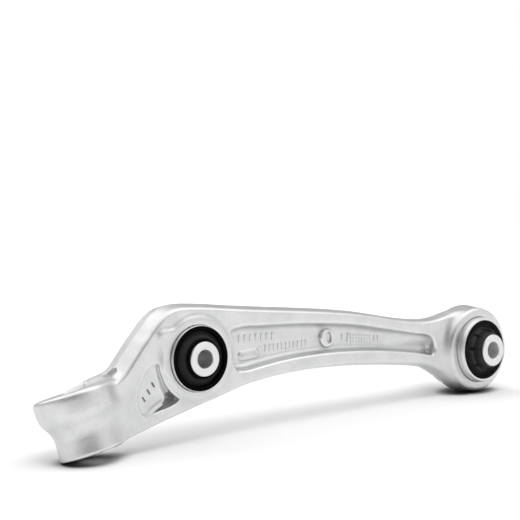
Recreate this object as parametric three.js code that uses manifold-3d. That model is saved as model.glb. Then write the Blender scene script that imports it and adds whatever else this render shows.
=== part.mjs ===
// Forged suspension control arm with two bonded rubber bushes.
//
// The arm is one I-section forging. Its left end is a tapered-pin eye (ball-joint
// pin seat), its wide part carries the damper-fork bush, and its right end is the
// chassis bush. Both bush axes lie along Y. Front is -Y, +X runs towards the
// chassis bush, and the arm stands on edge on its two lowest points.
// All lengths are millimetres.

import * as THREE from 'three';
import { mergeVertices } from 'three/addons/utils/BufferGeometryUtils.js';
import Module from 'manifold-3d';

const wasm = await Module();
wasm.setup();

// ---------------------------------------------------------------- dimensions
const ARM_THICKNESS = 26.6;        // forging over the flanges
const DRAFT = 2.3;                 // how far the parting line stands out past the flange edge
const POCKET_DEPTH = 8.0;          // main pocket, each side
const POCKET_WALL = 4.2;           // horizontal run of the pocket's sloped wall
const GAP = 0.3;                   // clearance between touching pieces
const SEGMENTS = 36;               // facets round a bush

// The stance: the arm's own axes are turned until both feet touch Z = 0.
const STANCE_TILT_DEG = 2.948;     // clockwise, seen from the front
const STANCE_SHIFT = [-102.684, 0, 58.4675];

// Damper-fork bush, at the arm's own origin
const DAMPER = {
  x: 0, z: 0,
  bossRim: 28.7, bossRoot: 30.6, bossHalf: 14.8,
  sleeveOut: 22.5, sleeveIn: 20.4, sleeveHalf: 16.9,
  lipOut: 22.0, lipHalf: 18.0,
  midOut: 17.4, midIn: 16.1, midHalf: 10.5,
  rubberSplit: 16.6,
  innerOut: 12.0, innerBore: 6.2, innerHalf: 22.4,
};

// Chassis bush
const CHASSIS = {
  x: 282.4, z: -7.6,
  eyeRim: 34.0, eyeWaist: 36.4, eyeHalf: 18.0,
  sleeveOut: 26.7, sleeveIn: 24.3, sleeveHalf: 23.9,
  midOut: 20.3, midIn: 19.0, midHalf: 15.0,
  rubberSplit: 19.3,
  collar: 17.6, collarHalf: 25.5,
  innerOut: 13.2, innerBore: 7.0, innerHalf: 33.4,
};

// Tapered-pin eye: a turned shape about its own leaning axis
const PIN = {
  top: [-86.4, 4.3, -17.8],        // centre of the top face
  axis: [-0.223, 0.215, 0.951],    // up the pin
  rimR: 24.3, flangeR: 26.2, flangeEdge: 2.2, flangeDepth: 8.0,
  skirtR: 25.2, skirtDepth: 14.5, shoulderR: 21.2, shoulderDepth: 21.3,
  waistR: 19.7, waistDepth: 27.0, footR: 20.3, length: 41.3,
  bore: 8.0,
};

// Flange edge of the forging in the arm's own X, Z axes
const OUTLINE = [
  [-80, -46], [-80, -21], [-73.5, -16.8], [-68.3, -13.9], [-62.1, -11], [-57.4, -7.3],
  [-53.6, -3], [-49.8, 2], [-46, 7], [-42.2, 12], [-38.2, 16.6], [-34.3, 21.4],
  [-30.4, 25.8], [-26.4, 29.3], [-22.4, 31.9], [-18.4, 33.5], [-14.2, 34.3], [-5.9, 34.7],
  [2.3, 34.5], [15, 33.8], [27.7, 32.9], [54.2, 31.3], [91.3, 29.4], [130.7, 26.9],
  [151.3, 25], [172.6, 22.1], [194.5, 18.9], [205.7, 17.6], [217.1, 16.8], [228.7, 16.7],
  [240.5, 18], [252.5, 20.6], [262, 22.6], [268, 22], [268, -34], [256, -29.5],
  [249, -26], [243, -23], [237.1, -20.4], [231.2, -18.7], [225.3, -17.6], [219.5, -16.8],
  [208, -15.7], [197, -14.8], [175, -13.5], [153, -12.6], [132, -12.4], [111.9, -12.8],
  [92.4, -13.8], [73.5, -15.6], [55.2, -18.2], [37.4, -21.9], [20.1, -27.2], [3.2, -31.8],
  [-13.2, -36.6], [-29.1, -41.2], [-44.7, -46.3], [-60, -51], [-67, -52.4],
];

// Main pocket at the flange face, and the small pocket beside the damper boss
const MAIN_POCKET = [
  [31, 10], [27.7, 18.1], [36.4, 19.8], [54.2, 20.4], [72.5, 20.6], [91.3, 20.5],
  [110.7, 20], [130.7, 19], [151.3, 17.2], [172.6, 14.3], [194.5, 11.2], [217.1, 7.8],
  [228.7, 6.9], [234.5, 4], [237, -1.5], [237, -7.5], [233.4, -10.9], [228.7, -10.4],
  [217.1, -8.7], [194.5, -6.1], [172.6, -4.2], [151.3, -3.1], [130.7, -2.8], [110.7, -3.3],
  [91.3, -4.5], [72.5, -6.5], [54.2, -9.4], [40.8, -11.3], [34, -10], [30.8, -6],
];
const SIDE_POCKET = [
  [-31, -2.4], [-35, -2.2], [-39.4, -4.6], [-44, -11.1], [-47.4, -18.7], [-48.2, -24],
  [-47.4, -30], [-43.4, -35.4], [-39, -36.8], [-32, -34], [-22.1, -30.9], [-17, -28.6],
  [-14, -25.5], [-17.3, -21.6], [-22.1, -16.6], [-25.3, -11.7], [-28, -6.6],
];
const SIDE_POCKET_DEPTH = 5.0;

// ------------------------------------------------------------------- helpers
function toSolid(geometry) {
  let g = geometry.clone();
  g.deleteAttribute('normal');
  if (g.attributes.uv) g.deleteAttribute('uv');
  g = mergeVertices(g, 1e-4);
  const vertProperties = new Float32Array(g.attributes.position.array);
  let tri = Array.from(g.index.array);
  const kept = [];
  let volume = 0;
  const at = (i) => new THREE.Vector3().fromArray(vertProperties, 3 * i);
  for (let i = 0; i < tri.length; i += 3) {
    const [a, b, c] = [tri[i], tri[i + 1], tri[i + 2]];
    if (a === b || b === c || a === c) continue;
    kept.push(a, b, c);
    volume += at(a).dot(at(b).cross(at(c)));
  }
  if (volume < 0) for (let i = 0; i < kept.length; i += 3) [kept[i + 1], kept[i + 2]] = [kept[i + 2], kept[i + 1]];
  return new wasm.Manifold(new wasm.Mesh({ numProp: 3, vertProperties, triVerts: new Uint32Array(kept) }));
}

function toGeometry(solid) {
  const m = solid.getMesh();
  const g = new THREE.BufferGeometry();
  const p = new Float32Array((m.vertProperties.length / m.numProp) * 3);
  for (let i = 0; i < p.length / 3; i++) for (let k = 0; k < 3; k++) p[3 * i + k] = m.vertProperties[m.numProp * i + k];
  g.setAttribute('position', new THREE.BufferAttribute(p, 3));
  g.setIndex(new THREE.BufferAttribute(new Uint32Array(m.triVerts), 1));
  g.computeVertexNormals();
  return g;
}

function shapeOf(points) {
  return new THREE.Shape(points.map(([x, z]) => new THREE.Vector2(x, z)));
}

// Moves every corner of a closed outline along its own normal: + is outwards.
function offsetOutline(points, distance) {
  let area = 0;
  points.forEach(([x, z], i) => { const [u, w] = points[(i + 1) % points.length]; area += x * w - u * z; });
  const side = area > 0 ? 1 : -1;
  return points.map((p, i) => {
    const a = points[(i + points.length - 1) % points.length];
    const b = points[(i + 1) % points.length];
    const t = new THREE.Vector2(b[0] - a[0], b[1] - a[1]).normalize();
    return [p[0] + side * distance * t.y, p[1] - side * distance * t.x];
  });
}

// A prism whose outline lies in X, Z. It runs from Y = 0 towards -Y, widening by
// `flare` over `rise`, then straight for `straight`.
function flaredPrism(points, rise, flare, straight) {
  const g = new THREE.ExtrudeGeometry(shapeOf(points), {
    depth: straight, bevelEnabled: true, bevelThickness: rise, bevelSize: flare, bevelSegments: 1, steps: 1,
  });
  g.translate(0, 0, rise);
  g.rotateX(Math.PI / 2);
  return g;
}

// A ring turned about Y from a closed list of [radius, y] corners.
function ring(profile, segments = SEGMENTS) {
  const points = profile.map(([r, y]) => new THREE.Vector2(r, y));
  points.push(points[0].clone());
  return new THREE.LatheGeometry(points, segments);
}

// A solid turned about Y whose profile starts and ends on the axis.
function turned(profile, segments = SEGMENTS) {
  return new THREE.LatheGeometry(profile.map(([r, y]) => new THREE.Vector2(r, y)), segments);
}

function plug(radius, half, segments = SEGMENTS) {
  return turned([[0, -half], [radius, -half], [radius, half], [0, half]], segments);
}

function moved(geometry, x, z) {
  return geometry.translate(x, 0, z);
}

// The same cutter on the -Y face and, mirrored, on the +Y face.
function bothSides(cutter) {
  return [cutter, cutter.clone().scale(1, -1, 1)];
}

// Mirrors a list of [radius, y] corners for the -Y half into a full closed loop.
function mirrored(half) {
  return [...half, ...half.slice().reverse().map(([r, y]) => [r, -y])];
}

// ------------------------------------------------------------------- forging
const half = ARM_THICKNESS / 2;
const beam = new THREE.ExtrudeGeometry(shapeOf(OUTLINE), {
  depth: 0.4, bevelEnabled: true, bevelThickness: half - 0.2, bevelSize: DRAFT, bevelSegments: 1, steps: 1,
});
beam.translate(0, 0, -0.2);
beam.rotateX(Math.PI / 2);

const damperBoss = moved(turned([
  [0, -DAMPER.bossHalf], [DAMPER.bossRim, -DAMPER.bossHalf], [DAMPER.bossRoot, 0],
  [DAMPER.bossRim, DAMPER.bossHalf], [0, DAMPER.bossHalf],
], 48), DAMPER.x, DAMPER.z);

const chassisEye = moved(turned([
  [0, -CHASSIS.eyeHalf], [CHASSIS.eyeRim, -CHASSIS.eyeHalf], [CHASSIS.eyeWaist, 0],
  [CHASSIS.eyeRim, CHASSIS.eyeHalf], [0, CHASSIS.eyeHalf],
], 48), CHASSIS.x, CHASSIS.z);

// Pin eye: local Y is the pin axis, local X points towards the damper bush
const pinAxis = new THREE.Vector3(...PIN.axis).normalize();
const pinX = new THREE.Vector3(1, 0, 0).addScaledVector(pinAxis, -pinAxis.x).normalize();
const pinZ = new THREE.Vector3().crossVectors(pinX, pinAxis);
const pinFrame = new THREE.Matrix4().makeBasis(pinX, pinAxis, pinZ).setPosition(...PIN.top);

const pinEye = turned([
  [0, 0], [PIN.rimR, 0], [PIN.flangeR, -PIN.flangeEdge], [PIN.flangeR, -PIN.flangeDepth],
  [PIN.skirtR, -PIN.skirtDepth], [PIN.shoulderR, -PIN.shoulderDepth], [PIN.waistR, -PIN.waistDepth],
  [PIN.footR, -PIN.length + 0.6], [PIN.footR - 0.6, -PIN.length], [0, -PIN.length],
], 40).applyMatrix4(pinFrame);
const pinBore = plug(PIN.bore, PIN.length, 32).translate(0, -PIN.length / 2, 0).applyMatrix4(pinFrame);

const mainFloor = offsetOutline(MAIN_POCKET, -POCKET_WALL);
const sideFloor = offsetOutline(SIDE_POCKET, -3);
const mainCutters = bothSides(flaredPrism(mainFloor, POCKET_DEPTH, POCKET_WALL, 6).translate(0, -(half - POCKET_DEPTH), 0));
const sideCutters = bothSides(flaredPrism(sideFloor, SIDE_POCKET_DEPTH, 3, 6).translate(0, -(half - SIDE_POCKET_DEPTH), 0));

let forging = toSolid(beam);
for (const cutter of [...mainCutters, ...sideCutters]) forging = forging.subtract(toSolid(cutter));
forging = forging.add(toSolid(damperBoss)).add(toSolid(chassisEye)).add(toSolid(pinEye));
forging = forging.subtract(toSolid(moved(plug(DAMPER.sleeveOut + GAP, 40), DAMPER.x, DAMPER.z)));
forging = forging.subtract(toSolid(moved(plug(CHASSIS.sleeveOut + GAP, 40), CHASSIS.x, CHASSIS.z)));
forging = forging.subtract(toSolid(pinBore));

// --------------------------------------------------------------- damper bush
const D = DAMPER;
const damperOuterSleeve = ring(mirrored([[D.sleeveIn, -D.sleeveHalf], [D.sleeveOut, -D.sleeveHalf]]));
// outer rubber layer: a lip over the sleeve's end, then a groove towards the middle sleeve
const damperOuterRubber = ring(mirrored([
  [D.midOut + GAP, -D.midHalf], [D.midOut + GAP, -D.midHalf - GAP], [D.rubberSplit + 0.15, -D.midHalf - GAP],
  [D.rubberSplit + 0.15, -13], [19, -16.4], [19.6, -D.lipHalf], [D.lipOut, -D.lipHalf],
  [D.lipOut, -D.sleeveHalf - GAP], [D.sleeveIn - GAP, -D.sleeveHalf - GAP],
]));
const damperMiddleSleeve = ring(mirrored([[D.midIn, -D.midHalf], [D.midOut, -D.midHalf]]));
const damperInnerRubber = ring(mirrored([
  [D.innerOut + GAP, -19.8], [14, -19.2], [14.6, -16], [D.rubberSplit - 0.15, -13],
  [D.rubberSplit - 0.15, -D.midHalf - GAP], [D.midIn - GAP, -D.midHalf - GAP],
]));
const damperInnerSleeve = ring(mirrored([
  [D.innerBore, -D.innerHalf + 0.8], [D.innerBore + 0.8, -D.innerHalf], [D.innerOut - 0.6, -D.innerHalf], [D.innerOut, -D.innerHalf + 0.6],
]));

// -------------------------------------------------------------- chassis bush
const C = CHASSIS;
const chassisOuterSleeve = ring(mirrored([
  [C.sleeveIn, -C.sleeveHalf], [C.sleeveOut - 0.8, -C.sleeveHalf], [C.sleeveOut, -C.sleeveHalf + 1.6],
]));
const chassisOuterRubber = ring(mirrored([
  [C.midOut + GAP, -C.midHalf], [C.midOut + GAP, -C.midHalf - GAP], [C.rubberSplit + 0.15, -C.midHalf - GAP],
  [C.rubberSplit + 0.15, -20.6], [22, -20.2], [C.sleeveIn - GAP, -23.4],
]));
const chassisMiddleSleeve = ring(mirrored([[C.midIn, -C.midHalf], [C.midOut, -C.midHalf]]));
const chassisInnerRubber = ring(mirrored([
  [C.innerOut + GAP, -31], [14.6, -29.4], [C.collar - 0.8, -C.collarHalf - 0.6], [C.collar, -C.collarHalf],
  [C.collar + 0.6, -21.2], [C.rubberSplit - 0.15, -20.6],
  [C.rubberSplit - 0.15, -C.midHalf - GAP], [C.midIn - GAP, -C.midHalf - GAP],
]));
const chassisInnerSleeve = ring(mirrored([
  [C.innerBore, -C.innerHalf + 1], [C.innerBore + 1, -C.innerHalf], [C.innerOut - 0.6, -C.innerHalf], [C.innerOut, -C.innerHalf + 0.6],
]));

// ------------------------------------------------------------------ assembly
const forgedAluminium = { color: 0xd5d6d6, roughness: 0.52, metalness: 0.6 };
const turnedAluminium = { color: 0xdcdddd, roughness: 0.38, metalness: 0.75 };
const plainSteel = { color: 0x9a9c9e, roughness: 0.45, metalness: 0.85 };
const blackRubber = { color: 0x141414, roughness: 0.62, metalness: 0.0 };

const arm = new THREE.Group();
function add(name, geometry, material, x = 0, z = 0) {
  const mesh = new THREE.Mesh(toGeometry(toSolid(geometry)), new THREE.MeshStandardMaterial(material));
  mesh.name = name;
  mesh.position.set(x, 0, z);
  arm.add(mesh);
  return mesh;
}
function addSolid(name, solid, material) {
  const mesh = new THREE.Mesh(toGeometry(solid), new THREE.MeshStandardMaterial(material));
  mesh.name = name;
  arm.add(mesh);
  return mesh;
}

addSolid('forged_arm', forging, forgedAluminium);
add('damper_bush_outer_sleeve', damperOuterSleeve, turnedAluminium, D.x, D.z);
add('damper_bush_outer_rubber', damperOuterRubber, blackRubber, D.x, D.z);
add('damper_bush_middle_sleeve', damperMiddleSleeve, plainSteel, D.x, D.z);
add('damper_bush_inner_rubber', damperInnerRubber, blackRubber, D.x, D.z);
add('damper_bush_inner_sleeve', damperInnerSleeve, turnedAluminium, D.x, D.z);
add('chassis_bush_outer_sleeve', chassisOuterSleeve, turnedAluminium, C.x, C.z);
add('chassis_bush_outer_rubber', chassisOuterRubber, blackRubber, C.x, C.z);
add('chassis_bush_middle_sleeve', chassisMiddleSleeve, plainSteel, C.x, C.z);
add('chassis_bush_inner_rubber', chassisInnerRubber, blackRubber, C.x, C.z);
add('chassis_bush_inner_sleeve', chassisInnerSleeve, turnedAluminium, C.x, C.z);

arm.rotation.y = THREE.MathUtils.degToRad(STANCE_TILT_DEG);
arm.position.set(...STANCE_SHIFT);

const group = new THREE.Group();
group.name = 'control_arm';
group.add(arm);
group.updateMatrixWorld(true);

export default group;
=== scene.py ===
"""Looks for the forged control arm. Lengths inside the modelling code are millimetres in the
arm's own axes (origin at the damper bush's centre); everything is turned into the frame, in
metres, by to_frame()."""
import math

import bpy
import numpy as np
from mathutils import Matrix, Vector


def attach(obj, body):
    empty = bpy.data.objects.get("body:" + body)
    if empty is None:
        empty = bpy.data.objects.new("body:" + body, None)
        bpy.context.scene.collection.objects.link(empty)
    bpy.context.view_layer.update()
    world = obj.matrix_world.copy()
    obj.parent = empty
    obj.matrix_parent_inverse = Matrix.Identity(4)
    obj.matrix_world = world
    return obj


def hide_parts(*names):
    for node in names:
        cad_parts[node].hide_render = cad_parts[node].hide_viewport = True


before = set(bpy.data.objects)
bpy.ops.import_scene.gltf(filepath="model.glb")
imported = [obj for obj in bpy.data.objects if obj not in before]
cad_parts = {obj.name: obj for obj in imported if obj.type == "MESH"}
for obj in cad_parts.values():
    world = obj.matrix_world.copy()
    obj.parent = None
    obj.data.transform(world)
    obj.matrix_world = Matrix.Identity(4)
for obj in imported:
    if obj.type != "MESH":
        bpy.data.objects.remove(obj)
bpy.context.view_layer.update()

# ---------------------------------------------------------------- the stance
TILT = math.radians(2.948)
SHIFT = np.array([-102.684, 0.0, 58.4675])


def to_frame(p):
    """Arm axes, mm -> frame, m."""
    p = np.asarray(p, dtype=np.float64)
    x, y, z = p[..., 0], p[..., 1], p[..., 2]
    c, s = math.cos(TILT), math.sin(TILT)
    return (np.stack([x * c + z * s, y, -x * s + z * c], -1) + SHIFT) / 1000.0


def turn(d):
    d = np.asarray(d, dtype=np.float64)
    x, y, z = d[..., 0], d[..., 1], d[..., 2]
    c, s = math.cos(TILT), math.sin(TILT)
    return np.stack([x * c + z * s, y, -x * s + z * c], -1)


# ------------------------------------------------------------------ dimensions
HALF = 13.3          # forging half thickness over the flanges
DRAFT = 2.3          # the parting line stands this far out past the flange edge
DAMPER = (0.0, 0.0)
CHASSIS = (282.4, -7.6)
PIN_TOP = np.array([-86.4, 4.3, -17.8])
PIN_AXIS = np.array([-0.223, 0.215, 0.951])
PIN_LENGTH = 41.3
PIN_AXIS /= np.linalg.norm(PIN_AXIS)
PIN_X = np.array([1.0, 0, 0]) - PIN_AXIS[0] * PIN_AXIS
PIN_X /= np.linalg.norm(PIN_X)
PIN_Z = np.cross(PIN_X, PIN_AXIS)

OUTLINE = [
    (-80, -46), (-80, -21), (-73.5, -16.8), (-68.3, -13.9), (-62.1, -11), (-57.4, -7.3),
    (-53.6, -3), (-49.8, 2), (-46, 7), (-42.2, 12), (-38.2, 16.6), (-34.3, 21.4),
    (-30.4, 25.8), (-26.4, 29.3), (-22.4, 31.9), (-18.4, 33.5), (-14.2, 34.3), (-5.9, 34.7),
    (2.3, 34.5), (15, 33.8), (27.7, 32.9), (54.2, 31.3), (91.3, 29.4), (130.7, 26.9),
    (151.3, 25), (172.6, 22.1), (194.5, 18.9), (205.7, 17.6), (217.1, 16.8), (228.7, 16.7),
    (240.5, 18), (252.5, 20.6), (262, 22.6), (268, 22), (268, -34), (256, -29.5),
    (249, -26), (243, -23), (237.1, -20.4), (231.2, -18.7), (225.3, -17.6), (219.5, -16.8),
    (208, -15.7), (197, -14.8), (175, -13.5), (153, -12.6), (132, -12.4), (111.9, -12.8),
    (92.4, -13.8), (73.5, -15.6), (55.2, -18.2), (37.4, -21.9), (20.1, -27.2), (3.2, -31.8),
    (-13.2, -36.6), (-29.1, -41.2), (-44.7, -46.3), (-60, -51), (-67, -52.4),
]
MAIN_POCKET = [
    (31, 10), (28.6, 17.2), (36.4, 19.8), (54.2, 20.4), (72.5, 20.6), (91.3, 20.5),
    (110.7, 20), (130.7, 19), (151.3, 17.2), (172.6, 14.3), (194.5, 11.2), (217.1, 7.8),
    (227.5, 6.6), (232.8, 4.4), (236.2, -0.8), (236.8, -7.3), (233.4, -10.9), (228.7, -10.4),
    (217.1, -8.7), (194.5, -6.1), (172.6, -4.2), (151.3, -3.1), (130.7, -2.8), (110.7, -3.3),
    (91.3, -4.5), (72.5, -6.5), (54.2, -9.4), (40.8, -11.3), (34, -10.4), (30.8, -5),
]
SIDE_POCKET = [
    (-31, -2.4), (-35, -2.2), (-39.4, -4.6), (-44, -11.1), (-47.4, -18.7), (-48.2, -24),
    (-47.4, -30), (-43.4, -35.4), (-39, -36.8), (-32, -34), (-22.1, -30.9), (-17, -28.6),
    (-12, -24), (-12, -12), (-22, -6),
]


# --------------------------------------------------------- outlines and fields
def smooth_loop(points, steps=6):
    """A closed Catmull-Rom curve through the points."""
    p = np.array(points, dtype=np.float64)
    n = len(p)
    out = []
    t = np.linspace(0, 1, steps, endpoint=False)[:, None]
    for i in range(n):
        a, b, c, d = p[i - 1], p[i], p[(i + 1) % n], p[(i + 2) % n]
        # chord lengths keep the curve from overshooting between uneven points
        ab, bc, cd = (max(np.linalg.norm(v), 1e-6) for v in (b - a, c - b, d - c))
        m1 = ((b - a) / ab - (c - a) / (ab + bc) + (c - b) / bc) * bc
        m2 = ((c - b) / bc - (d - b) / (bc + cd) + (d - c) / cd) * bc
        h = (2 * t**3 - 3 * t**2 + 1) * b + (t**3 - 2 * t**2 + t) * m1
        h += (-2 * t**3 + 3 * t**2) * c + (t**3 - t**2) * m2
        out.append(h)
    return np.concatenate(out)


def polygon_distance(px, pz, loop):
    """Signed distance to a closed loop, negative inside."""
    best = np.full(px.shape, 1e18, dtype=np.float64)
    inside = np.zeros(px.shape, dtype=bool)
    n = len(loop)
    for i in range(n):
        ax, az = loop[i]
        bx, bz = loop[(i + 1) % n]
        ex, ez = bx - ax, bz - az
        wx, wz = px - ax, pz - az
        t = np.clip((wx * ex + wz * ez) / (ex * ex + ez * ez + 1e-12), 0, 1)
        dx, dz = wx - t * ex, wz - t * ez
        best = np.minimum(best, dx * dx + dz * dz)
        cross = (az > pz) != (bz > pz)
        if ez != 0:
            inside ^= cross & (px < ax + (pz - az) * ex / ez)
    return np.where(inside, -1.0, 1.0) * np.sqrt(best)


class Field:
    """A 2-D signed distance kept on a grid and read by bilinear interpolation."""

    def __init__(self, loop, lo, hi, step):
        self.lo, self.step = np.array(lo, float), step
        n = np.ceil((np.array(hi) - lo) / step).astype(int) + 1
        gx = lo[0] + step * np.arange(n[0])
        gz = lo[1] + step * np.arange(n[1])
        self.grid = polygon_distance(gx[:, None] + 0 * gz, gz[None, :] + 0 * gx[:, None], loop)
        self.n = n

    def __call__(self, x, z):
        u = np.clip((x - self.lo[0]) / self.step, 0, self.n[0] - 1.001)
        v = np.clip((z - self.lo[1]) / self.step, 0, self.n[1] - 1.001)
        i, j = u.astype(int), v.astype(int)
        fu, fv = u - i, v - j
        g = self.grid
        return (
            g[i, j] * (1 - fu) * (1 - fv) + g[i + 1, j] * fu * (1 - fv)
            + g[i, j + 1] * (1 - fu) * fv + g[i + 1, j + 1] * fu * fv
        )


def cut_round(a, b, r):
    """Intersection with its edge rounded to radius r."""
    u, v = np.maximum(a + r, 0), np.maximum(b + r, 0)
    return np.minimum(np.maximum(a, b), -r) + np.sqrt(u * u + v * v)


def join_round(a, b, r):
    """Union with its corner filled to radius r."""
    u, v = np.maximum(r - a, 0), np.maximum(r - b, 0)
    return np.maximum(np.minimum(a, b), r) - np.sqrt(u * u + v * v)


def smoothstep(e0, e1, x):
    t = np.clip((x - e0) / (e1 - e0), 0, 1)
    return t * t * (3 - 2 * t)


beam_field = Field(smooth_loop(OUTLINE, 5), (-118, -68), (326, 44), 0.6)
main_field = Field(smooth_loop(MAIN_POCKET, 5), (10, -30), (256, 38), 0.6)
side_field = Field(smooth_loop(SIDE_POCKET, 5), (-66, -54), (6, 14), 0.6)

# The pin eye's turned profile (radius, depth below the top face) as a closed shape
PIN_PROFILE = [
    (-14, 0.0), (0, 0.0), (12, 0.0), (22.6, 0.0), (24.2, 0.2), (25.4, 0.85), (26.15, 1.9), (26.4, 3.3), (26.4, 7.0),
    (26.1, 10.5), (25.6, 13.6), (24.7, 16.0), (23.3, 18.4), (22.0, 20.4), (20.9, 22.7), (20.1, 25.3), (19.7, 28.5),
    (19.8, 32.0), (20.0, 35.5), (20.25, 38.5), (20.3, 40.0), (20.0, 41.0), (19.3, 41.3), (12, 41.3), (0, 41.3), (-14, 41.3),
]
pin_field = Field(smooth_loop(PIN_PROFILE, 5), (-2, -30), (60, 72), 0.4)
# the raised damper boss runs out to a blunt corner at its upper left
CORNER = [(-31.6, 18.2), (-29.6, 19.9), (-21.0, 19.7), (-12, 12), (-12, -6), (-27.4, -7.6), (-28.4, 3.0), (-30.0, 8.5), (-32.0, 14.0)]
corner_field = Field(smooth_loop(CORNER, 5), (-46, -20), (2, 34), 0.4)


# a deep notch in the side pocket's lower right corner, with a tail along the lower flange
NOTCH = [(-36.4, -34.4), (-31.4, -31.4), (-27.4, -28.6), (-26.2, -25.6), (-25.4, -22.5), (-22.6, -20.9), (-16.0, -23.0),
         (-15.6, -28.0), (-20.0, -30.3), (-27.6, -32.5), (-33.1, -34.0)]
notch_field = Field(smooth_loop(NOTCH, 5), (-50, -46), (0, -8), 0.4)
SPOT = np.array([-58.7, -0.4, -8.8])
SPOT_AXIS = np.array([0.80, 0.0, -0.60])


def arm_sdf(p):
    """Signed distance (mm) to the forging's skin, in the arm's own axes."""
    x, y, z = p[:, 0], p[:, 1], p[:, 2]
    ay = np.abs(y)
    rl = np.hypot(x - DAMPER[0], z - DAMPER[1])
    rr = np.hypot(x - CHASSIS[0], z - CHASSIS[1])
    ang = np.degrees(np.arctan2(z - DAMPER[1], x - DAMPER[0])) % 360

    # I-beam: thinner towards the neck, with a shallow step round the damper boss's left side
    half = HALF - 1.6 * smoothstep(120, 225, x)
    window = smoothstep(140, 160, ang) * (1 - smoothstep(190, 205, ang))
    half = half - 0.4 * window * (1 - smoothstep(31.5, 36.5, rl))
    side = (beam_field(x, z) - DRAFT * (1 - ay / HALF)) * 0.985
    # the back of the neck's crest sits a little lower than the front
    side = side + 2.4 * smoothstep(-4, 9, y) * smoothstep(208, 236, x) * (1 - smoothstep(262, 276, x)) * smoothstep(2, 9, z)
    body = cut_round(side, ay - half, 2.5)

    # main pocket, both sides; its end wall by the neck is steeper
    depth = half - ay
    steep = 0.30 - 0.10 * smoothstep(150, 205, x)
    web = 8.0 - 3.8 * smoothstep(176, 224, x) * smoothstep(-5, 5, z)
    wall = (main_field(x, z) + 1.2 + steep * (depth - 4.0)) * 0.97
    pocket = cut_round(wall, depth - web, 3.2)
    body = cut_round(body, -pocket, 1.7)

    # side pocket: a shallow panel that falls towards the boss, deepest in its lower right corner
    fall = smoothstep(190, 232, ang)
    floor = 0.75 + (1.3 + 1.7 * fall) * (1 - smoothstep(0, 1, (rl - 30.0) / (4.0 + 3.5 * fall)))
    floor = floor + 1.9 * smoothstep(-46, -30, x) * (1 - smoothstep(-34, -20, z))
    ridge = (x + 41.0) * 0.56 - (z + 35.8) * 0.83 - 0.6 - 30 * smoothstep(-28.5, -24.0, x)
    wall = np.maximum((side_field(x, z) + 0.16 * depth) * 0.96, (ridge + 0.95 * depth) * 0.7)
    pocket = cut_round(wall, (depth - floor) * 0.88, 1.3)
    body = cut_round(body, -pocket, 0.6)
    wall = (notch_field(x, z) + 0.25 * depth) * 0.95
    pocket = cut_round(wall, (depth - 2.6 - 8.0 * smoothstep(-36, -25, x)) * 0.88, 1.0)
    body = cut_round(body, -pocket, 0.5)

    # damper boss, raised with a sloping shoulder
    outline = join_round(rl - 27.4, corner_field(x, z) + 1.6, 5.0)
    boss = cut_round((outline - 1.45 * np.clip(14.8 - ay, 0, 2.0) - 0.06 * (14.8 - ay)) * 0.6, ay - 14.8, 0.9)
    body = join_round(body, boss, 0.9)

    # round pip on the web, with an oval sink in its face
    rp = np.hypot(x - 122.8, z - 7.9)
    pad = cut_round((rp - 7.2 + 0.22 * (ay - 5.3)) * 0.97, ay - (HALF - 8.0 + 2.5), 0.9)
    sink = (np.sqrt(((x - 124.4) / 2.1) ** 2 + ((z - 8.3) / 4.2) ** 2) - 1) * 2.1
    pad = cut_round(pad, -cut_round(sink, (HALF - 8.0 + 2.5) - ay - 1.5, 0.5), 0.5)
    body = join_round(body, pad, 1.0)

    # chassis eye, faired into the neck
    back = smoothstep(-8, 3, y)
    eye = rr - 34.0 - 2.4 * (1 - ay / 18.0) + 3.0 * smoothstep(1, 14, y)
    eye = cut_round(eye * 0.96, ay - 18.0, 2.6 + 1.4 * back)
    body = join_round(body, eye, 6.0 - 4.6 * back)

    # pin eye
    q = p - PIN_TOP
    h = -(q @ PIN_AXIS)
    u, v = q @ PIN_X, q @ PIN_Z
    pin = pin_field(np.hypot(u, v), h)
    fair = 3.5 + 4.5 * smoothstep(-62, -36, z) * (1 - smoothstep(-30, -19, z))
    fair = fair + 7.5 * smoothstep(-26, -18, z) * smoothstep(-3, 7, y)
    body = join_round(body, pin, fair)

    # round spot milled into the foot of the sloping flank
    q = p - SPOT
    t = q @ SPOT_AXIS
    spot = np.sqrt(np.maximum(np.sum(q * q, axis=1) - t * t, 0)) - 4.6
    body = cut_round(body, -cut_round(spot, t - 1.0, 0.3), 0.3)

    # bores, with their lead-in chamfers
    def bore(radial, over, r, chamfer):
        return np.minimum(radial - r, (radial - r - chamfer + over) * 0.7071)

    body = cut_round(body, -bore(rl, 14.8 - ay, 22.65, 0.7), 0.25)
    body = cut_round(body, -bore(rr, 18.0 - ay, 26.85, 0.8), 0.25)
    body = cut_round(body, -bore(np.hypot(u, v), np.minimum(h, PIN_LENGTH - h), 8.0, 0.6), 0.25)
    return body


def sdf_chunks(p, size=400000):
    return np.concatenate([arm_sdf(p[i:i + size]) for i in range(0, len(p), size)])


def gradient(p, e=0.12):
    g = np.zeros_like(p)
    for k in range(3):
        d = np.zeros(3)
        d[k] = e
        g[:, k] = (sdf_chunks(p + d) - sdf_chunks(p - d)) / (2 * e)
    return g


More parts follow.
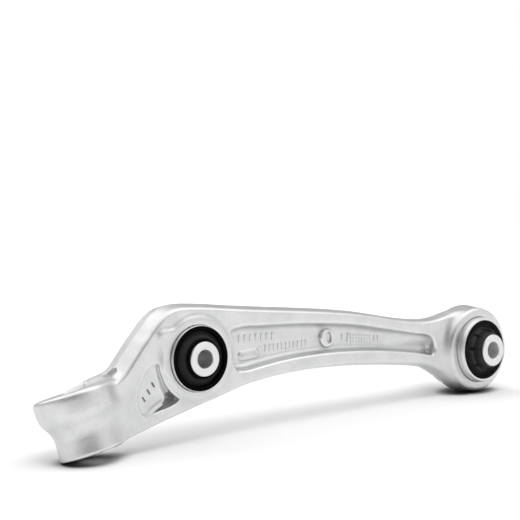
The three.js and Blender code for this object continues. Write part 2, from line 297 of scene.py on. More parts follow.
def surface_nets(lo, hi, h):
    n = [int(math.ceil((hi[k] - lo[k]) / h)) + 1 for k in range(3)]
    ax = [lo[k] + h * np.arange(n[k]) for k in range(3)]
    phi = np.empty(n, dtype=np.float32)
    yy, zz = np.meshgrid(ax[1], ax[2], indexing="ij")
    step = 16
    for i in range(0, n[0], step):
        xs = ax[0][i:i + step]
        m = len(xs)
        pts = np.empty((m, n[1], n[2], 3))
        pts[..., 0] = xs[:, None, None]
        pts[..., 1] = yy
        pts[..., 2] = zz
        phi[i:i + m] = arm_sdf(pts.reshape(-1, 3)).reshape(m, n[1], n[2])
    inside = phi < 0
    corners = [(a, b, c) for a in (0, 1) for b in (0, 1) for c in (0, 1)]
    count = np.zeros([v - 1 for v in n], dtype=np.int8)
    for a, b, c in corners:
        count += inside[a:n[0] - 1 + a, b:n[1] - 1 + b, c:n[2] - 1 + c]
    active = (count > 0) & (count < 8)
    ijk = np.argwhere(active)
    index = np.full(active.shape, -1, dtype=np.int64)
    index[active] = np.arange(len(ijk))
    acc = np.zeros((len(ijk), 3))
    hits = np.zeros(len(ijk))
    for a in corners:
        for k in range(3):
            if a[k]:
                continue
            b = list(a)
            b[k] = 1
            pa = phi[tuple((ijk + a).T)].astype(np.float64)
            pb = phi[tuple((ijk + b).T)].astype(np.float64)
            x = (pa < 0) != (pb < 0)
            t = pa[x] / (pa[x] - pb[x])
            acc[x] += np.array(a) + t[:, None] * (np.array(b) - np.array(a))
            hits[x] += 1
    verts = np.array(lo) + h * (ijk + acc / hits[:, None])
    quads = []
    for k in range(3):
        a, b = (k + 1) % 3, (k + 2) % 3
        s0 = [slice(0, n[0]), slice(0, n[1]), slice(0, n[2])]
        s1 = list(s0)
        s0[k], s1[k] = slice(0, n[k] - 1), slice(1, n[k])
        change = inside[tuple(s0)] != inside[tuple(s1)]
        e = np.argwhere(change)
        keep = (e[:, a] > 0) & (e[:, b] > 0) & (e[:, a] < n[a] - 1) & (e[:, b] < n[b] - 1)
        e = e[keep]
        out = []
        for da, db in ((1, 1), (0, 1), (0, 0), (1, 0)):
            c = e.copy()
            c[:, a] -= da
            c[:, b] -= db
            out.append(index[tuple(c.T)])
        q = np.stack(out, 1)
        first_in = inside[tuple(e.T)]
        q[~first_in] = q[~first_in][:, ::-1]
        quads.append(q)
    return verts, np.concatenate(quads)


def settle(verts, quads, h, rounds=3):
    """Evens the net out along the surface and puts every vertex exactly on it."""
    edges = np.concatenate([quads[:, [0, 1]], quads[:, [1, 2]], quads[:, [2, 3]], quads[:, [3, 0]]])
    for _ in range(rounds):
        total = np.zeros_like(verts)
        deg = np.zeros(len(verts))
        np.add.at(total, edges[:, 0], verts[edges[:, 1]])
        np.add.at(total, edges[:, 1], verts[edges[:, 0]])
        np.add.at(deg, edges[:, 0], 1)
        np.add.at(deg, edges[:, 1], 1)
        g = gradient(verts)
        nrm = g / np.maximum(np.linalg.norm(g, axis=1), 1e-6)[:, None]
        move = 0.45 * (total / deg[:, None] - verts)
        move -= np.sum(move * nrm, 1)[:, None] * nrm
        verts = verts + move
        for _ in range(2):
            f = sdf_chunks(verts)
            g = gradient(verts)
            gg = np.maximum(np.sum(g * g, 1), 0.2)
            d = np.clip(f / gg, -0.5 * h, 0.5 * h)
            verts = verts - d[:, None] * g
    return verts


def new_object(name, verts, faces, normals=None, smooth=True):
    mesh = bpy.data.meshes.new(name)
    mesh.from_pydata([tuple(v) for v in verts], [], [tuple(int(i) for i in f) for f in faces])
    mesh.validate()
    mesh.polygons.foreach_set("use_smooth", [smooth] * len(mesh.polygons))
    if normals is not None:
        mesh.normals_split_custom_set_from_vertices([tuple(v) for v in normals])
    mesh.update()
    obj = bpy.data.objects.new(name, mesh)
    bpy.context.scene.collection.objects.link(obj)
    return obj


NET = 1.0
verts, quads = surface_nets((-118, -25, -65), (322, 31, 40), NET)
verts = settle(verts, quads, NET, rounds=2)
normal = gradient(verts, 0.2)
normal /= np.maximum(np.linalg.norm(normal, axis=1), 1e-9)[:, None]
# how sharply the skin bends: + on edges, - in corners; the forged material uses it to paint a highlight along the edges
# and shade into the corners
bend = np.zeros(len(verts))
for k in range(3):
    d = np.zeros(3)
    d[k] = 1.1
    bend += sdf_chunks(verts + d) + sdf_chunks(verts - d)
bend = bend / 1.1**2
arm = new_object("forged_arm_skin", to_frame(verts), quads, turn(normal))
attr = arm.data.attributes.new("bend", "FLOAT", "POINT")
attr.data.foreach_set("value", bend.astype(np.float32))


# ------------------------------------------------- small raised marks on the web
def raised_mark(x, z, w, h, angle, rise, y_floor, side, hole=0.0):
    """A low pad with rounded corners and sloped flanks, sunk 0.3 mm into the web."""
    n = 20
    r = min(w, h) / 2
    ring2d = []
    for k in range(n):
        a = 2 * math.pi * k / n
        cx = (w / 2 - r) * (1 if math.cos(a) >= 0 else -1)
        cz = (h / 2 - r) * (1 if math.sin(a) >= 0 else -1)
        ring2d.append((cx, cz, r * math.cos(a), r * math.sin(a)))
    ca, sa = math.cos(angle), math.sin(angle)
    grow = [(1.25, -0.3), (1.0, 0.15), (0.86, 0.75), (0.62, 1.0)]
    if hole:
        grow += [(0.62 - hole, 0.9), (0.5 - hole, 0.35), (0.0, 0.3)]
    else:
        grow += [(0.0, 1.04)]
    v, f = [], []
    for g, up_by in grow:
        for cx, cz, dx, dz in ring2d:
            k = max(g, 0.0)
            px, pz = (cx + dx * k, cz + dz * k) if g >= 0.3 else (cx * (g > 0) + dx * k, cz * (g > 0) + dz * k)
            v.append((x + px * ca - pz * sa, side * (y_floor + up_by * rise), z + px * sa + pz * ca))
    for i in range(len(grow) - 1):
        for k in range(n):
            a, b = i * n + k, i * n + (k + 1) % n
            f.append((a, b, b + n, a + n) if side < 0 else (a, a + n, b + n, b))
    return v, f


marks_v, marks_f = [], []


def skin_y(x, z):
    """How far the skin stands from the mid-plane at this place."""
    y = np.linspace(0.5, 15.5, 301)
    d = arm_sdf(np.stack([np.full_like(y, x), -y, np.full_like(y, z)], 1))
    return float(y[np.argmax(d > 0)])


def mark(x, z, w, h, angle=0.0, rise=0.45, hole=0.0, into=None):
    vs, fs = into or (marks_v, marks_f)
    for side in (-1, 1):
        v, f = raised_mark(x, z, w, h, angle, rise, skin_y(x, z), side, hole)
        o = len(vs)
        vs.extend(v)
        fs.extend([tuple(o + i for i in q) for q in f])


for k in range(7):                       # upper row of plain strokes
    mark(41.0 + 5.0 * k, 10.9 + 0.17 * k, 1.5, 5.6, -0.06)
for k in range(11):                      # lower row
    mark(65.0 + 3.8 * k, 3.3 + 0.2 * k, 1.4, 5.0, -0.05)
mark(49.6, -0.9, 19.0, 7.4, 0.09, 0.85, hole=0.2)
for i in range(8):                       # even grid of dots
    for j in range(3):
        mark(148.5 + 3.0 * i + 0.2 * j, 9.2 - 2.4 * j - 0.18 * i, 1.3, 1.3, 0, 0.35)
mark(139.3, 8.3, 1.2, 4.4, -0.05)
mark(145.2, 7.5, 1.2, 7.0, -0.05)
for k in range(2):
    mark(174.0 + 4.0 * k, 6.0 - 0.4 * k, 1.3, 4.2, -0.08)
marks = new_object("web_relief_marks", to_frame(np.array(marks_v)), marks_f)
stamp_v, stamp_f = [], []
for x, z in ((-42.6, -24.6), (-38.9, -20.0), (-35.4, -15.6)):   # three plain strokes in the side pocket
    mark(x, z, 1.25, 4.2, 0.62, 0.3, into=(stamp_v, stamp_f))
stamps = new_object("side_pocket_strokes", to_frame(np.array(stamp_v)), stamp_f)

# -------------------------------------------------------------- turned pieces
def fillet_profile(profile, steps=5):
    """profile: closed list of (r, y, radius). Every corner becomes an arc, so each point has
    one clean normal."""
    pts, nrm = [], []
    n = len(profile)
    p = [np.array(q[:2], float) for q in profile]
    area = sum(p[i][0] * p[(i + 1) % n][1] - p[(i + 1) % n][0] * p[i][1] for i in range(n))
    sgn = 1.0 if area > 0 else -1.0
    for i in range(n):
        a, b, c = p[i - 1], p[i], p[(i + 1) % n]
        d1, d2 = (b - a), (c - b)
        l1, l2 = np.linalg.norm(d1), np.linalg.norm(d2)
        d1, d2 = d1 / l1, d2 / l2
        cosang = np.clip(d1 @ d2, -1, 1)
        turn_by = math.acos(cosang)
        if turn_by < 1e-3:
            continue
        r = profile[i][2]
        cut = min(r * math.tan(turn_by / 2), 0.48 * l1, 0.48 * l2)
        r = cut / math.tan(turn_by / 2)
        n1 = sgn * np.array([d1[1], -d1[0]])
        n2 = sgn * np.array([d2[1], -d2[0]])
        side = 1.0 if (d1[0] * d2[1] - d1[1] * d2[0]) * sgn > 0 else -1.0
        centre = b - d1 * cut - side * n1 * r
        for k in range(steps + 1):
            t = k / steps
            m = n1 * math.sin((1 - t) * turn_by) + n2 * math.sin(t * turn_by)
            m = m / np.linalg.norm(m)
            pts.append(centre + side * m * r)
            nrm.append(m)
    return np.array(pts), np.array(nrm)


def turned_piece(name, centre, profile, segments=144, wave=None, steps=5):
    """A ring turned about the bush's own axis. Angle 0 is +X, 90 is +Z."""
    pts, nrm = fillet_profile(profile, steps)
    a = np.linspace(0, 2 * math.pi, segments, endpoint=False)
    m = len(pts)
    r = np.repeat(pts[None, :, 0], segments, 0)
    y = np.repeat(pts[None, :, 1], segments, 0)
    if wave is not None:
        r, y = wave(r, y, a[:, None])
    ca, sa = np.cos(a)[:, None], np.sin(a)[:, None]
    v = np.stack([centre[0] + r * ca, y, centre[1] + r * sa], -1).reshape(-1, 3)
    nn = np.stack([nrm[None, :, 0] * ca, nrm[None, :, 1] + 0 * ca, nrm[None, :, 0] * sa], -1).reshape(-1, 3)
    i = np.arange(segments)[:, None]
    j = np.arange(m)[None, :]
    i2, j2 = (i + 1) % segments, (j + 1) % m
    f = np.stack([i * m + j, i * m + j2, i2 * m + j2, i2 * m + j], -1).reshape(-1, 4)
    # outward winding
    e1 = v[f[:, 1]] - v[f[:, 0]]
    e2 = v[f[:, 3]] - v[f[:, 0]]
    if np.sum(np.sum(np.cross(e1, e2) * nn[f[:, 0]], 1)) < 0:
        f = f[:, ::-1]
    return new_object(name, to_frame(v), f, None if wave is not None else turn(nn))


def both(half):
    """A -Y half profile, mirrored to a closed loop."""
    return list(half) + [(r, -y, q) for r, y, q in reversed(half)]


pieces = {}
# damper bush
pieces["damper_bush_outer_sleeve_turned"] = (turned_piece(
    "damper_bush_outer_sleeve_turned", DAMPER,
    both([(20.4, -16.9, 0.3), (22.5, -16.9, 0.4)])), "arm", "damper_bush_outer_sleeve", "turned_aluminium")
pieces["damper_bush_outer_rubber_moulded"] = (turned_piece(
    "damper_bush_outer_rubber_moulded", DAMPER, both([
        (17.6, -10.6, 0.1), (16.62, -10.9, 0.1), (16.62, -16.5, 0.1), (18.0, -15.2, 0.5), (18.7, -15.7, 0.3),
        (18.9, -18.0, 0.8), (22.1, -18.0, 0.7), (22.1, -17.0, 0.15), (20.3, -17.0, 0.15)])),
    "arm", "damper_bush_outer_rubber", "black_rubber")


def seam(r, y, a):
    """A fine mould seam across the cone at the top."""
    d = np.abs((a - math.pi / 2 + math.pi) % (2 * math.pi) - math.pi) * r
    ridge = np.exp(-((d / 0.35) ** 2)) * np.clip((np.abs(y) - 15.0) / 1.5, 0, 1)
    return r, y + np.sign(y) * 0.25 * ridge


pieces["damper_bush_inner_rubber_moulded"] = (turned_piece(
    "damper_bush_inner_rubber_moulded", DAMPER, both([
        (12.05, -21.7, 0.2), (12.9, -21.5, 0.5), (13.7, -20.2, 0.7), (14.2, -18.8, 0.7), (16.58, -16.45, 0.1),
        (16.58, -10.9, 0.1), (15.9, -10.6, 0.1)]), segments=360, wave=seam),
    "damper_middle", "damper_bush_inner_rubber", "black_rubber")
pieces["damper_bush_inner_sleeve_turned"] = (turned_piece(
    "damper_bush_inner_sleeve_turned", DAMPER,
    both([(6.25, -22.0, 0.15), (6.65, -22.4, 0.15), (11.3, -22.4, 0.2), (11.7, -22.0, 0.2), (11.9, -20.8, 0.3)])),
    "damper_inner", "damper_bush_inner_sleeve", "turned_aluminium")
# chassis bush
pieces["chassis_bush_outer_sleeve_turned"] = (turned_piece(
    "chassis_bush_outer_sleeve_turned", CHASSIS,
    both([(24.3, -23.7, 0.3), (24.6, -23.9, 0.2), (26.0, -23.9, 0.4), (26.7, -22.2, 0.8)])),
    "arm", "chassis_bush_outer_sleeve", "turned_aluminium")
pieces["chassis_bush_outer_rubber_moulded"] = (turned_piece(
    "chassis_bush_outer_rubber_moulded", CHASSIS, both([
        (20.4, -15.1, 0.1), (19.35, -15.4, 0.1), (19.35, -20.3, 0.2), (21.3, -20.0, 1.4), (23.2, -22.7, 0.9),
        (24.25, -23.5, 0.3)])),
    "arm", "chassis_bush_outer_rubber", "black_rubber")


def notches(r, y, a):
    """The collar's shoulder: broad gaps at top and bottom, narrow mould notches at the sides."""
    gate = np.zeros_like(r * a)
    for centre, half, depth in ((90, 19, 1.0), (270, 19, 1.0), (45, 3, 0.6), (135, 3, 0.6), (175, 4, 0.7),
                                (225, 3, 0.6), (315, 3, 0.6), (5, 4, 0.7)):
        d = np.abs((np.degrees(a) - centre + 180) % 360 - 180)
        g = np.clip((half + 1.5 - d) / 3.0, 0, 1)
        gate = np.maximum(gate, depth * g * g * (3 - 2 * g))
    shoulder = np.clip((r - 14.6) / 1.6, 0, 1) * np.clip((19.4 - r) / 0.7, 0, 1) * np.clip((np.abs(y) - 20.8) / 1.6, 0, 1)
    return r - 2.2 * gate * shoulder, y - np.sign(y) * 1.6 * gate * shoulder


pieces["chassis_bush_inner_rubber_moulded"] = (turned_piece(
    "chassis_bush_inner_rubber_moulded", CHASSIS, both([
        (13.25, -32.7, 0.2), (13.9, -32.4, 0.5), (14.6, -29.6, 1.4), (16.0, -26.8, 1.2), (17.2, -26.4, 0.4),
        (17.9, -25.6, 0.7), (18.3, -21.4, 0.8), (19.3, -20.7, 0.3), (19.3, -15.4, 0.1), (18.8, -15.1, 0.1)]),
    segments=360, wave=notches, steps=6),
    "chassis_middle", "chassis_bush_inner_rubber", "black_rubber")
pieces["chassis_bush_inner_sleeve_turned"] = (turned_piece(
    "chassis_bush_inner_sleeve_turned", CHASSIS,
    both([(7.0, -33.0, 0.15), (7.4, -33.4, 0.15), (12.5, -33.4, 0.2), (12.95, -32.95, 0.2), (13.15, -31.0, 0.3)])),
    "chassis_inner", "chassis_bush_inner_sleeve", "turned_aluminium")


# ------------------------------------------------------------------- materials
def nodes_of(name):
    m = bpy.data.materials.new(name)
    m.use_nodes = True
    t = m.node_tree
    t.nodes.clear()
    out = t.nodes.new("ShaderNodeOutputMaterial")
    bsdf = t.nodes.new("ShaderNodeBsdfPrincipled")
    t.links.new(bsdf.outputs[0], out.inputs[0])
    return m, t, bsdf


def noise(t, coord, scale, detail=2.0, rough=0.5, stretch=None):
    n = t.nodes.new("ShaderNodeTexNoise")
    n.inputs["Scale"].default_value = scale
    n.inputs["Detail"].default_value = detail
    n.inputs["Roughness"].default_value = rough
    if stretch is not None:
        mp = t.nodes.new("ShaderNodeMapping")
        mp.inputs["Scale"].default_value = stretch
        t.links.new(coord, mp.inputs[0])
        coord = mp.outputs[0]
    t.links.new(coord, n.inputs["Vector"])
    return n.outputs["Fac"]


def ramp(t, value, stops):
    n = t.nodes.new("ShaderNodeValToRGB")
    el = n.color_ramp.elements
    while len(el) < len(stops):
        el.new(0.5)
    for e, (pos, col) in zip(el, stops):
        e.position = pos
        e.color = (*col, 1.0) if not isinstance(col, float) else (col, col, col, 1.0)
    t.links.new(value, n.inputs[0])
    return n.outputs[0]


def math_node(t, op, a, b=None):
    n = t.nodes.new("ShaderNodeMath")
    n.operation = op
    for i, v in enumerate((a, b)):
        if v is None:
            continue
        if isinstance(v, (int, float)):
            n.inputs[i].default_value = v
        else:
            t.links.new(v, n.inputs[i])
    return n.outputs[0]


def mix_color(t, fac, a, b, blend="MIX"):
    n = t.nodes.new("ShaderNodeMix")
    n.data_type = "RGBA"
    n.blend_type = blend
    for sock, v in (("Factor", fac), ("A", a), ("B", b)):
        i = {"Factor": 0, "A": 6, "B": 7}[sock]
        if isinstance(v, (int, float)):
            n.inputs[i].default_value = v
        elif isinstance(v, tuple):
            n.inputs[i].default_value = (*v, 1.0)
        else:
            t.links.new(v, n.inputs[i])
    return n.outputs[2]


def bump(t, heights, bsdf):
    """heights: list of (value, distance in metres, strength), stacked."""
    prev = None
    for value, dist, strength in heights:
        n = t.nodes.new("ShaderNodeBump")
        n.inputs["Distance"].default_value = dist
        n.inputs["Strength"].default_value = strength
        t.links.new(value, n.inputs["Height"])
        if prev is not None:
            t.links.new(prev, n.inputs["Normal"])
        prev = n.outputs[0]
    t.links.new(prev, bsdf.inputs["Normal"])


def forged_material():
    m, t, b = nodes_of("forged_aluminium_blasted")
    co = t.nodes.new("ShaderNodeTexCoord").outputs["Object"]
    grain = noise(t, co, 1150, 3.0, 0.62)
    skin = noise(t, co, 330, 3.0, 0.55)
    cloud = noise(t, co, 30, 4.0, 0.55)
    blotch = noise(t, co, 115, 3.0, 0.6)
    bend = t.nodes.new("ShaderNodeAttribute")
    bend.attribute_name = "bend"
    edge = ramp(t, bend.outputs["Fac"], [(0.0, 0.0), (0.12, 0.0), (0.60, 1.0)])
    corner = ramp(t, math_node(t, "MULTIPLY", bend.outputs["Fac"], -1.0), [(0.0, 0.0), (0.10, 0.0), (0.6, 1.0)])
    base = ramp(t, cloud, [(0.28, (0.70, 0.705, 0.71)), (0.52, (0.745, 0.748, 0.75)), (0.76, (0.775, 0.775, 0.775))])
    fine = ramp(t, grain, [(0.30, (0.90, 0.90, 0.90)), (0.70, (1.0, 1.0, 1.0))])
    col = mix_color(t, 1.0, base, fine, "MULTIPLY")
    col = mix_color(t, 1.0, col, ramp(t, blotch, [(0.34, (0.95, 0.95, 0.95)), (0.66, (1.03, 1.03, 1.03))]), "MULTIPLY")
    # Painted highlight: convex edges are lifted towards a light grey.
    col = mix_color(t, math_node(t, "MULTIPLY", edge, 0.6), col, (0.88, 0.88, 0.88))
    # Painted shade: concave corners are darkened towards a mid grey.
    col = mix_color(t, math_node(t, "MULTIPLY", corner, 0.40), col, (0.50, 0.505, 0.51))
    off = t.nodes.new("ShaderNodeVectorMath")
    off.operation = "DISTANCE"
    t.links.new(co, off.inputs[0])
    off.inputs[1].default_value = Vector(to_frame(SPOT))
    spot = ramp(t, math_node(t, "MULTIPLY", off.outputs["Value"], 100.0), [(0.0, 1.0), (0.50, 1.0), (0.60, 0.0)])
    col = mix_color(t, math_node(t, "MULTIPLY", spot, 0.75), col, (0.86, 0.86, 0.86))
    t.links.new(col, b.inputs["Base Color"])
    b.inputs["Metallic"].default_value = 0.94
    rough = ramp(t, skin, [(0.25, 0.36), (0.75, 0.46)])
    # The lower roughness along convex edges is the edges' own smoother finish.
    rough = mix_color(t, math_node(t, "MULTIPLY", edge, 0.6), rough, (0.30, 0.30, 0.30))
    rough = mix_color(t, spot, rough, (0.60, 0.60, 0.60))
    t.links.new(rough, b.inputs["Roughness"])
    bump(t, [(cloud, 0.0006, 0.22), (blotch, 0.00025, 0.20), (skin, 0.00010, 0.40), (grain, 0.00005, 0.45)], b)
    return m


def stroke_shade_material():
    # Painted shade: the strokes get a dark, patchy grey that stands in for the shade inside the stamped digits.
    m, t, b = nodes_of("stamped_stroke_painted_shade")
    co = t.nodes.new("ShaderNodeTexCoord").outputs["Object"]
    grain = noise(t, co, 1400, 3.0, 0.6)
    patch = noise(t, co, 420, 3.0, 0.6)
    t.links.new(ramp(t, patch, [(0.3, (0.13, 0.13, 0.132)), (0.72, (0.34, 0.34, 0.34))]), b.inputs["Base Color"])
    b.inputs["Metallic"].default_value = 0.6
    t.links.new(ramp(t, grain, [(0.3, 0.5), (0.7, 0.7)]), b.inputs["Roughness"])
    bump(t, [(patch, 0.0001, 0.4), (grain, 0.00005, 0.4)], b)
    return m


def turned_material():
    m, t, b = nodes_of("turned_aluminium_satin")
    co = t.nodes.new("ShaderNodeTexCoord").outputs["Object"]
    grain = noise(t, co, 2000, 2.0, 0.5)
    patch = noise(t, co, 90, 3.0, 0.5)
    base = ramp(t, patch, [(0.3, (0.72, 0.722, 0.725)), (0.7, (0.79, 0.79, 0.79))])
    xyz = t.nodes.new("ShaderNodeSeparateXYZ")
    t.links.new(co, xyz.inputs[0])
    rough = ramp(t, patch, [(0.25, 0.30), (0.75, 0.42)])
    # Painted light in the sleeve bores: the damper bore's wall is coloured darker as painted shade, the chassis bore's
    # wall lighter as painted light; both bore walls are also rougher.
    for centre, r_bore, bore_painted_tone in ((DAMPER, 6.5, (0.62, 0.62, 0.625)), (CHASSIS, 7.25, (0.92, 0.92, 0.92))):
        c = to_frame(np.array([centre[0], 0.0, centre[1]]))
        dx = math_node(t, "SUBTRACT", xyz.outputs[0], float(c[0]))
        dz = math_node(t, "SUBTRACT", xyz.outputs[2], float(c[2]))
        rr = math_node(t, "SQRT", math_node(t, "ADD", math_node(t, "MULTIPLY", dx, dx), math_node(t, "MULTIPLY", dz, dz)))
        bore_paint_mask = ramp(t, math_node(t, "MULTIPLY", rr, 100.0), [(0.0, 1.0), (r_bore / 10 - 0.02, 1.0), (r_bore / 10 + 0.02, 0.0)])
        base = mix_color(t, bore_paint_mask, base, bore_painted_tone)
        rough = mix_color(t, bore_paint_mask, rough, (0.55, 0.55, 0.55))
    t.links.new(base, b.inputs["Base Color"])
    b.inputs["Metallic"].default_value = 0.95
    t.links.new(rough, b.inputs["Roughness"])
    bump(t, [(patch, 0.0001, 0.2), (grain, 0.00003, 0.35)], b)
    return m


def rubber_material(name, centre, dull, shine, sheen_bands):
    """Moulded rubber. Rings round the bush axis (radii in mm) carry a painted sheen: a greyer colour that stands in for
    the light caught by the cones and ridges.
    """
    m, t, b = nodes_of(name)
    co = t.nodes.new("ShaderNodeTexCoord").outputs["Object"]
    grain = noise(t, co, 1500, 3.0, 0.6)
    dust_and_sheen = noise(t, co, 150, 4.0, 0.6)
    xyz = t.nodes.new("ShaderNodeSeparateXYZ")
    t.links.new(co, xyz.inputs[0])
    c = to_frame(np.array([centre[0], 0.0, centre[1]]))
    dx = math_node(t, "SUBTRACT", xyz.outputs[0], float(c[0]))
    dz = math_node(t, "SUBTRACT", xyz.outputs[2], float(c[2]))
    rr = math_node(t, "SQRT", math_node(t, "ADD", math_node(t, "MULTIPLY", dx, dx), math_node(t, "MULTIPLY", dz, dz)))
    band = math_node(t, "MULTIPLY", rr, 1000.0 / 40.0)
    col = ramp(t, dust_and_sheen, [(0.35, dull), (0.75, tuple(2.2 * v for v in dull))])
    rough = ramp(t, dust_and_sheen, [(0.3, 0.62), (0.7, 0.78)])
    # Painted sheen: inside each band the colour is lifted to the band's grey and the roughness is lowered.
    for r_lo, r_hi, sheen_tone in sheen_bands:
        sheen_mask = ramp(t, band, [(0.0, 0.0), ((r_lo - 0.4) / 40.0, 0.0), ((r_lo + 0.4) / 40.0, 1.0),
                              ((r_hi - 0.4) / 40.0, 1.0), ((r_hi + 0.4) / 40.0, 0.0)])
        painted_sheen = ramp(t, dust_and_sheen, [(0.30, tuple(0.7 * v for v in sheen_tone)), (0.75, sheen_tone)])
        col = mix_color(t, sheen_mask, col, painted_sheen)
        rough = mix_color(t, sheen_mask, rough, ramp(t, dust_and_sheen, [(0.3, 0.42), (0.7, 0.56)]))
    t.links.new(col, b.inputs["Base Color"])
    t.links.new(rough, b.inputs["Roughness"])
    b.inputs["Specular IOR Level"].default_value = shine
    bump(t, [(dust_and_sheen, 0.0002, 0.2), (grain, 0.00004, 0.3)], b)
    return m


def steel_material():
    m, t, b = nodes_of("drawn_steel")
    co = t.nodes.new("ShaderNodeTexCoord").outputs["Object"]
    lines = noise(t, co, 300, 3.0, 0.6, stretch=(1, 14, 1))
    t.links.new(ramp(t, lines, [(0.3, (0.42, 0.43, 0.44)), (0.7, (0.55, 0.56, 0.57))]), b.inputs["Base Color"])
    b.inputs["Metallic"].default_value = 0.95
    t.links.new(ramp(t, lines, [(0.3, 0.34), (0.7, 0.5)]), b.inputs["Roughness"])
    bump(t, [(lines, 0.00003, 0.3)], b)
    return m


forged, turned_al, steel = forged_material(), turned_material(), steel_material()
# The grey bands given here are painted sheen on the inner rubber cones and on the chassis bush's collar ridge; the
# chassis rubber also has a lighter base and more shine than the damper rubber.
rubber = rubber_material("black_rubber_damper", DAMPER, (0.0014, 0.0014, 0.0014), 0.03, [(14.0, 18.4, (0.034, 0.034, 0.034))])
rubber_c = rubber_material("black_rubber_chassis", CHASSIS, (0.010, 0.010, 0.010), 0.12, [
    (13.2, 14.8, (0.035, 0.035, 0.035)), (17.1, 18.4, (0.050, 0.050, 0.050))])
by_slot = {"turned_aluminium": turned_al, "black_rubber": rubber, "sleeve_steel": steel, "forged_aluminium": forged}

arm.data.materials.append(forged)
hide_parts("forged_arm")
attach(arm, "arm")
marks.data.materials.append(forged)
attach(marks, "arm")
stamps.data.materials.append(stroke_shade_material())
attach(stamps, "arm")
for name, (obj, body, node, slot) in pieces.items():
    obj.data.materials.append(rubber_c if "chassis" in name and slot == "black_rubber" else by_slot[slot])
    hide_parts(node)
    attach(obj, body)
for node in ("damper_bush_middle_sleeve", "chassis_bush_middle_sleeve"):
    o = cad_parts[node]
    for s in o.material_slots:
        s.material = steel

# ------------------------------------------------------------- floor and light
floor = new_object("floor", [(-9, -9, 0), (9, -9, 0), (9, 9, 0), (-9, 9, 0)], [(0, 1, 2, 3)])
fm, ft, fb = nodes_of("floor_white")
# Painted contact shadow: the floor's colour darkens with ambient occlusion close to the arm's feet.
painted_contact_shadow = ft.nodes.new("ShaderNodeAmbientOcclusion")
painted_contact_shadow.samples = 12
painted_contact_shadow.inputs["Distance"].default_value = 0.012
ft.links.new(ramp(ft, painted_contact_shadow.outputs["AO"], [(0.0, (0.03, 0.03, 0.03)), (0.40, (0.24, 0.24, 0.24)), (0.80, (0.85, 0.85, 0.85)), (1.0, (0.95, 0.95, 0.95))]),
             fb.inputs["Base Color"])
far = ft.nodes.new("ShaderNodeVectorMath")
far.operation = "LENGTH"
ft.links.new(ft.nodes.new("ShaderNodeTexCoord").outputs["Object"], far.inputs[0])
glow = ft.nodes.new("ShaderNodeMapRange")
glow.interpolation_type = "SMOOTHSTEP"
glow.inputs["From Min"].default_value = 0.30
glow.inputs["From Max"].default_value = 1.6
glow.inputs["To Max"].default_value = 0.34
ft.links.new(far.outputs["Value"], glow.inputs["Value"])
fb.inputs["Emission Color"].default_value = (1, 1, 1, 1)
ft.links.new(glow.outputs["Result"], fb.inputs["Emission Strength"])
fb.inputs["Roughness"].default_value = 0.9
fb.inputs["Specular IOR Level"].default_value = 0.1
floor.data.materials.append(fm)

scene = bpy.context.scene
world = bpy.data.worlds.new("studio")
scene.world = world
world.use_nodes = True
wt = world.node_tree
wt.nodes.clear()
wout = wt.nodes.new("ShaderNodeOutputWorld")
soft = wt.nodes.new("ShaderNodeBackground")
soft.inputs[1].default_value = 1.0
plain = wt.nodes.new("ShaderNodeBackground")
plain.inputs[0].default_value = (1, 1, 1, 1)
plain.inputs[1].default_value = 1.0
path = wt.nodes.new("ShaderNodeLightPath")
mixw = wt.nodes.new("ShaderNodeMixShader")
way = wt.nodes.new("ShaderNodeTexCoord").outputs["Generated"]


def lobe(axis, lo, hi):
    """0 outside a cone of directions, 1 inside it."""
    n = wt.nodes.new("ShaderNodeVectorMath")
    n.operation = "DOT_PRODUCT"
    wt.links.new(way, n.inputs[0])
    n.inputs[1].default_value = Vector(axis).normalized()
    r = wt.nodes.new("ShaderNodeMapRange")
    r.interpolation_type = "SMOOTHSTEP"
    r.inputs["From Min"].default_value = lo
    r.inputs["From Max"].default_value = hi
    wt.links.new(n.outputs["Value"], r.inputs["Value"])
    return r.outputs["Result"]


# soft panels overhead and behind, a pale horizon, darker low down behind and where the camera stands
ROOM, SIDE, DARK, LOW = 0.51, 0.30, 0.38, 0.12
level = math_node(wt, "ADD", math_node(wt, "MULTIPLY", lobe((0.8, -0.6, 0.0), 0.0, 1.0), SIDE), ROOM)
level = math_node(wt, "SUBTRACT", level, math_node(wt, "MULTIPLY", lobe((-0.50, -0.86, 0.27), 0.50, 0.95), DARK))
level = math_node(wt, "SUBTRACT", level, math_node(wt, "MULTIPLY", lobe((0.6, 0.78, 0.15), 0.60, 0.95), LOW))
for axis, lo, hi, bright in (((-0.12, 0.0, 0.99), 0.66, 0.86, 1.18), ((-0.05, 0.72, 0.69), 0.87, 0.96, 1.70),
                             ((0.33, 0.72, 0.61), 0.94, 0.985, 0.74),
                             ((0.35, -0.36, 0.86), 0.80, 0.92, 1.60)):
    over = lobe(axis, lo, hi)
    level = math_node(wt, "ADD", math_node(wt, "MULTIPLY", level, math_node(wt, "SUBTRACT", 1.0, over)),
                      math_node(wt, "MULTIPLY", over, bright))
tint = wt.nodes.new("ShaderNodeCombineColor")
wt.links.new(level, tint.inputs[0])
wt.links.new(level, tint.inputs[1])
wt.links.new(level, tint.inputs[2])
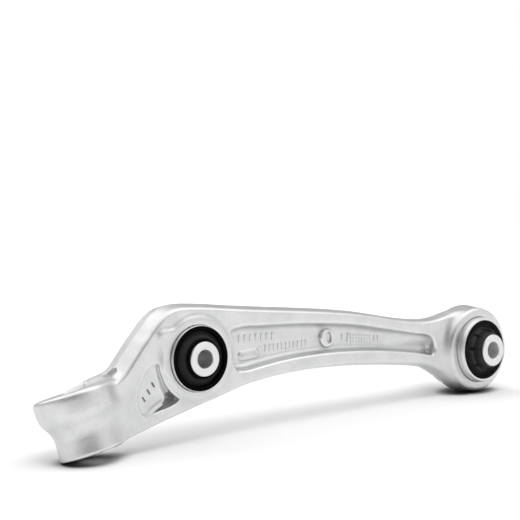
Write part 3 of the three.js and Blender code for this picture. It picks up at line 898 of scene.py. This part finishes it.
wt.links.new(tint.outputs[0], soft.inputs[0])
wt.links.new(path.outputs["Is Camera Ray"], mixw.inputs[0])
# the floor takes most of its light from the key, so that shadows stay crisp near the feet
wt.links.new(math_node(wt, "SUBTRACT", 1.0, math_node(wt, "MULTIPLY", path.outputs["Is Diffuse Ray"], 0.05)), soft.inputs[1])
wt.links.new(soft.outputs[0], mixw.inputs[1])
wt.links.new(plain.outputs[0], mixw.inputs[2])
wt.links.new(mixw.outputs[0], wout.inputs[0])


def area(name, loc, target, size, power, color=(1, 1, 1)):
    d = bpy.data.lights.new(name, "AREA")
    d.shape = "RECTANGLE"
    d.size, d.size_y = size
    d.energy = power
    d.color = color
    o = bpy.data.objects.new(name, d)
    o.location = loc
    o.rotation_euler = (Vector(target) - Vector(loc)).to_track_quat("-Z", "Y").to_euler()
    o.visible_glossy = False
    scene.collection.objects.link(o)
    return o


area("front_key", (-0.45, -0.95, 1.9), (0, 0, 0.03), (1.0, 0.9), 11)

scene.view_settings.view_transform = "Standard"
scene.view_settings.look = "None"

# --------------------------------------------------------------------- camera
THETA = math.radians(38.2)
F_PX = 1100.0
eye_arm = np.array([-427.98, -626.0, 66.65])
right = np.array([math.cos(THETA), -math.sin(THETA), 0.0])
back = np.array([-math.sin(THETA), -math.cos(THETA), 0.0])
up = np.array([0.0, 0.0, 1.0])
cam_data = bpy.data.cameras.new("camera")
cam_data.sensor_width = 36.0
cam_data.lens = F_PX / 520.0 * 36.0
cam_data.clip_start, cam_data.clip_end = 0.01, 50.0
cam = bpy.data.objects.new("camera", cam_data)
YAW = 0.5 / F_PX
right, back = right * math.cos(YAW) - back * math.sin(YAW), back * math.cos(YAW) + right * math.sin(YAW)
r_, u_, b_ = turn(right), turn(up), turn(back)
loc = to_frame(eye_arm)
cam.matrix_world = Matrix((
    (r_[0], u_[0], b_[0], loc[0]), (r_[1], u_[1], b_[1], loc[1]), (r_[2], u_[2], b_[2], loc[2]), (0, 0, 0, 1)))
scene.collection.objects.link(cam)
scene.camera = cam
